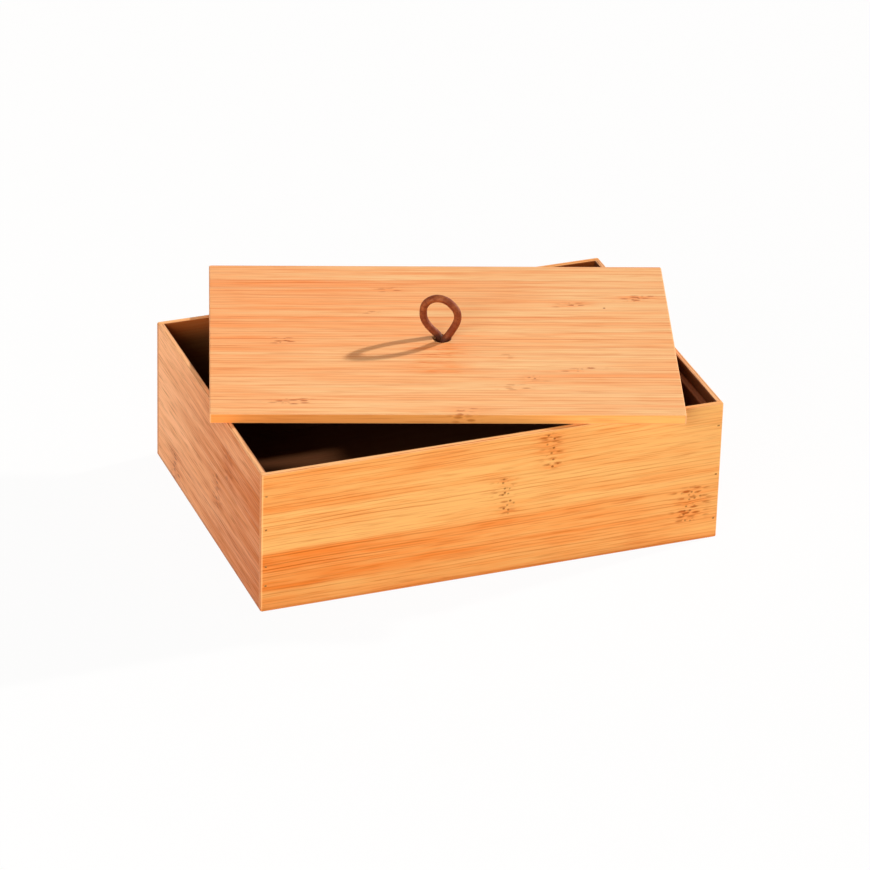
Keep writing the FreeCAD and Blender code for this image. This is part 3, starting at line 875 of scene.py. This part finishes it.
def leather_material(look):
    """Oiled round leather cord: rubbed patches, pores and fine creases, with painted shade at the hole.
    """
    material, n, shader = fresh_material("oiled leather")
    place = n.add("ShaderNodeTexCoord").outputs["Object"]
    fine = {"Vector": place, "Scale": 1.0 / look.pore}
    cells = n.add("ShaderNodeTexVoronoi", fine, feature="DISTANCE_TO_EDGE").outputs["Distance"]
    pores = n.step(cells, HIDE_PORE_EDGE, 0.0)
    patches = n.noise(place, *HIDE_PATCH_NOISE, HIDE_PATCHES)
    creases = n.noise(place, *HIDE_CREASE_NOISE, HIDE_CREASES)
    tint = n.mix(n.step(patches, *RUBBED), look.hide, look.worn)
    for cover in (
        n.product(pores, HIDE_PORE_SHARE),
        n.step(creases, *CREASED, 0.0, CREASE_SHARE),
        # Painted shade on the cord at the hole
        n.step(n.split(place)[2], *HOLE_SHADE_HEIGHTS, 0.0, HOLE_SHADE_SHARE),
    ):
        tint = n.mix(cover, tint, look.dark)
    n.feed(shader.inputs["Base Color"], tint)
    rough = n.step(patches, *POLISHED, look.roughness + HIDE_ROUGHER, look.roughness - HIDE_SMOOTHER)
    n.feed(shader.inputs["Roughness"], rough)
    shader.inputs["Specular IOR Level"].default_value = HIDE_GLOSS
    n.bump(shader, n.less(n.product(creases, CREASE_RELIEF), n.product(pores, PORE_RELIEF)), *HIDE_BUMP)
    return material


def brad_material(look):
    """Dulled steel with a brown stain that gathers in blotches."""
    material, n, shader = fresh_material("stained steel")
    place = n.add("ShaderNodeTexCoord").outputs["Object"]
    stain = n.step(n.noise(place, *BLOTCH_NOISE, STEEL_BLOTCHES), *STAINED)
    n.feed(shader.inputs["Base Color"], n.mix(stain, look.steel, look.stain))
    n.feed(shader.inputs["Metallic"], n.step(stain, 0.0, 1.0, *STEEL_METAL))
    bare, covered = look.roughness - STEEL_SMOOTHER, look.roughness + STAIN_ROUGHER
    n.feed(shader.inputs["Roughness"], n.step(stain, 0.0, 1.0, bare, covered))
    n.bump(shader, n.noise(place, scale=STEEL_SCRATCHES), *STEEL_BUMP)
    return material


def dress(node, material):
    """Gives a CAD node's object one material."""
    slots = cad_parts[node].data.materials
    slots.clear()
    slots.append(material)


# Operators

class BOX_OT_stage(bpy.types.Operator):
    """Set the camera, the lights, the room light and the pale floor"""
    bl_idname = "bamboo_box.stage"
    bl_label = "Set the Stage"

    def execute(self, context):
        look = context.scene.bamboo_box.stage
        context.scene.view_settings.view_transform = "Standard"
        self.camera(context, look)
        self.lamps(context, look)
        self.room(context, look)
        self.floor(context, look)
        return {"FINISHED"}

    def camera(self, context, look):
        a, e = look.azimuth, look.elevation
        back = Vector((math.sin(a) * math.cos(e), -math.cos(a) * math.cos(e), math.sin(e)))
        right = Vector((math.cos(a), math.sin(a), 0.0))
        axes = Matrix((right, back.cross(right), back)).transposed()
        axes = axes @ Matrix.Rotation(look.roll, 3, "Z")
        data = bpy.data.cameras.new("camera")
        data.sensor_width = SENSOR_WIDTH
        data.lens = look.lens
        data.clip_start, data.clip_end = CLIP_START, CLIP_END
        camera = bpy.data.objects.new("camera", data)
        camera.matrix_world = Matrix.Translation(look.place) @ axes.to_4x4()
        context.scene.collection.objects.link(camera)
        context.scene.camera = camera

    def lamp(self, context, name, kind, power, light, way, distance):
        """A lamp that shines on the box from the given way."""
        data = bpy.data.lights.new(name, kind)
        data.energy = power
        data.color = light
        lamp = bpy.data.objects.new(name, data)
        way = Vector(way).normalized()
        lamp.location = way * distance
        lamp.rotation_euler = way.to_track_quat("Z", "Y").to_euler()
        context.scene.collection.objects.link(lamp)
        return data

    def lamps(self, context, look):
        key = self.lamp(context, "key", "SUN", look.key, KEY_LIGHT, KEY_WAY, KEY_DISTANCE)
        key.angle = KEY_ANGLE
        fill = self.lamp(context, "fill", "AREA", look.fill, FILL_LIGHT, FILL_WAY, FILL_DISTANCE)
        fill.size = FILL_WIDTH
        top = self.lamp(context, "top", "AREA", look.top, TOP_LIGHT, TOP_WAY, TOP_DISTANCE)
        top.size = TOP_WIDTH

    def room(self, context, look):
        world = bpy.data.worlds.new("room")
        world.use_nodes = True
        world.node_tree.nodes.clear()
        n = Nodes(world.node_tree)
        lit = n.add("ShaderNodeBackground", {"Color": ROOM_LIGHT, "Strength": look.ambient})
        white = n.add("ShaderNodeBackground", {"Color": WHITE, "Strength": 1.0})
        both = n.add("ShaderNodeMixShader", {0: self.seen(n), 1: lit.outputs[0], 2: white.outputs[0]})
        n.add("ShaderNodeOutputWorld", {"Surface": both.outputs[0]})
        context.scene.world = world

    def seen(self, n):
        """Mask of the rays that show the background: to the camera, in gloss and through glass."""
        path = n.add("ShaderNodeLightPath").outputs
        gloss = n.most(path["Is Glossy Ray"], path["Is Transmission Ray"])
        return n.most(path["Is Camera Ray"], gloss)

    def floor(self, context, look):
        mesh = bpy.data.meshes.new("floor")
        signs = ((-1, -1), (1, -1), (1, 1), (-1, 1))
        corners = [(x * FLOOR_REACH, y * FLOOR_REACH, 0.0) for x, y in signs]
        mesh.from_pydata(corners, [], [(0, 1, 2, 3)])
        floor = bpy.data.objects.new("floor", mesh)
        floor.location.z = CAD_LOW.z - FLOOR_DROP
        context.scene.collection.objects.link(floor)
        material, n, shader = fresh_material("pale floor")
        mottle = n.noise(n.add("ShaderNodeTexCoord").outputs["Object"], scale=FLOOR_LUMPS)
        n.feed(shader.inputs["Base Color"], n.mix(n.step(mottle, *FLOOR_MOTTLE), look.floor, WHITE))
        shader.inputs["Roughness"].default_value = FLOOR_ROUGHNESS
        white = n.add("ShaderNodeEmission", {"Color": WHITE, "Strength": 1.0})
        cover = n.product(self.seen(n), 1.0 - look.shadow)
        both = n.add("ShaderNodeMixShader", {0: cover, 1: shader.outputs[0], 2: white.outputs[0]})
        output = next(x for x in n.tree.nodes if x.type == "OUTPUT_MATERIAL")
        n.feed(output.inputs["Surface"], both.outputs[0])
        mesh.materials.append(material)


class BOX_OT_pull(bpy.types.Operator):
    """Make the leather cord: two tails, the loop on the lid and the knot under it"""
    bl_idname = "bamboo_box.pull"
    bl_label = "Make the Leather Pull"

    def execute(self, context):
        look = context.scene.bamboo_box.pull
        turned = Matrix.Rotation(PULL_TURN, 4, "Z")
        base = Vector((LID_CENTRE.x, LID_CENTRE.y, LID_LOW.z))
        route = [*LOOP_ROUTE, *self.knot_turns(), *KNOT_END_ROUTE]
        data = bpy.data.curves.new("leather_pull", "CURVE")
        data.dimensions = "3D"
        data.bevel_depth = look.diameter / 2
        data.bevel_resolution = CORD_ROUND_STEPS
        data.resolution_u = CORD_LENGTH_STEPS
        data.use_fill_caps = True
        spline = data.splines.new("NURBS")
        spline.points.add(len(route) - 1)
        for point, place in zip(spline.points, route):
            point.co = (*(base + turned @ Vector(place)), 1.0)
        spline.order_u = 3
        spline.use_endpoint_u = True
        spline.use_smooth = True
        cord = bpy.data.objects.new("leather_pull", data)
        context.scene.collection.objects.link(cord)
        data.materials.append(leather_material(look))
        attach(cord, "pull")
        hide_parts("pull_loop", "pull_knot")
        return {"FINISHED"}

    def knot_turns(self):
        """Points of the cord's turns round its own legs, a little outside the turns that they make."""
        sweep = KNOT_TURNS * 2 * math.pi
        reach = KNOT_RADIUS / math.cos(sweep / (KNOT_POINTS - 1) / 2)
        x, y = KNOT_CENTRE
        points = []
        for i in range(KNOT_POINTS):
            part = i / (KNOT_POINTS - 1)
            angle = KNOT_START + sweep * part
            height = KNOT_LOW + KNOT_PITCH * KNOT_TURNS * part
            points.append((x + reach * math.cos(angle), y + reach * math.sin(angle), height))
        return points


class BOX_OT_walls(bpy.types.Operator):
    """Finish the four walls in flat-pressed bamboo, with painted light and shade on their inner faces
    and painted shade at their feet
    """
    bl_idname = "bamboo_box.walls"
    bl_label = "Finish the Walls"

    def execute(self, context):
        box = context.scene.bamboo_box
        # The long walls' inner faces get painted light at the rim and painted shade deeper down; the
        # short walls' get painted shade only
        lit, dark = (box.inner.glow, box.inner.shade), (box.inner.shade, box.inner.shade)
        for side, look, order, knuckles, seed, tones, shades in (
            ("front", box.long_walls, "XZY", FRONT_KNUCKLES, 3.0, FRONT_TONES, lit),
            ("back", box.long_walls, "XZY", BACK_KNUCKLES, 11.0, BACK_TONES, lit),
            # The left wall's tones hold a painted reflection, deep at the front and pale at the back
            ("left", box.short_walls, "YZX", LEFT_KNUCKLES, 5.0, LEFT_TONES, dark),
            ("right", box.short_walls, "YZX", RIGHT_KNUCKLES, 17.0, RIGHT_TONES, dark),
        ):
            material = bamboo_material(f"{side} bamboo", look, order, knuckles, seed, tones, shades)
            dress(f"{side}_wall", material)
        return {"FINISHED"}


class BOX_OT_bottom(bpy.types.Operator):
    """Finish the bottom panel in plain sanded bamboo, with painted shade on its upper face"""
    bl_idname = "bamboo_box.bottom"
    bl_label = "Finish the Bottom"

    def execute(self, context):
        look = context.scene.bamboo_box.inner
        dress("bottom_panel", bamboo_material(
            "bottom bamboo", look, "XYZ", BOTTOM_KNUCKLES, 23.0, shades=(look.shade, look.shade)))
        return {"FINISHED"}


class BOX_OT_cleats(bpy.types.Operator):
    """Finish the two cleats in plain sanded bamboo, painted over with shade"""
    bl_idname = "bamboo_box.cleats"
    bl_label = "Finish the Cleats"

    def execute(self, context):
        look = context.scene.bamboo_box.inner
        material = bamboo_material(
            "cleat bamboo", look, "YZX", CLEAT_KNUCKLES, 29.0, shades=(look.ledge, look.ledge))
        dress("left_cleat", material)
        dress("right_cleat", material)
        return {"FINISHED"}


class BOX_OT_lid(bpy.types.Operator):
    """Finish the lid in edge-glued bamboo strips"""
    bl_idname = "bamboo_box.lid"
    bl_label = "Finish the Lid"

    def execute(self, context):
        look = context.scene.bamboo_box.lid
        dress("lid_panel", bamboo_material(
            "lid bamboo", look, "XYZ", LID_KNUCKLES, 31.0, pins=LID_PINS, lid_frame=True))
        return {"FINISHED"}


class BOX_OT_brads(bpy.types.Operator):
    """Finish the brads at the four corners in stained steel"""
    bl_idname = "bamboo_box.brads"
    bl_label = "Finish the Brads"

    def execute(self, context):
        material = brad_material(context.scene.bamboo_box.brads)
        for node in ("front_left_brads", "front_right_brads", "back_left_brads", "back_right_brads"):
            dress(node, material)
        return {"FINISHED"}


class BOX_PT_panel(bpy.types.Panel):
    """Lists the steps that make and finish the box."""
    bl_idname = "BOX_PT_panel"
    bl_label = "Bamboo Box"
    bl_space_type = "VIEW_3D"
    bl_region_type = "UI"
    bl_category = "Bamboo Box"

    def draw(self, context):
        for step in STEPS:
            self.layout.operator(step.bl_idname)
        box = context.scene.bamboo_box
        for part in BambooBoxSettings.__annotations__:
            column = self.layout.box().column()
            group = getattr(box, part)
            for key in group.__annotations__:
                column.prop(group, key)


STEPS = (
    BOX_OT_stage, BOX_OT_pull, BOX_OT_walls, BOX_OT_bottom, BOX_OT_cleats, BOX_OT_lid, BOX_OT_brads,
)
GROUPS = (
    LongWallSettings, ShortWallSettings, LidSettings, InnerSettings, PullSettings, BradSettings,
    StageSettings, BambooBoxSettings,
)


def register():
    for kind in (*GROUPS, *STEPS, BOX_PT_panel):
        bpy.utils.register_class(kind)
    bpy.types.Scene.bamboo_box = PointerProperty(type=BambooBoxSettings)


def unregister():
    del bpy.types.Scene.bamboo_box
    for kind in reversed((*GROUPS, *STEPS, BOX_PT_panel)):
        bpy.utils.unregister_class(kind)


def main():
    register()
    bpy.ops.bamboo_box.stage()
    bpy.ops.bamboo_box.pull()
    bpy.ops.bamboo_box.walls()
    bpy.ops.bamboo_box.bottom()
    bpy.ops.bamboo_box.cleats()
    bpy.ops.bamboo_box.lid()
    bpy.ops.bamboo_box.brads()


if __name__ == "__main__":
    main()
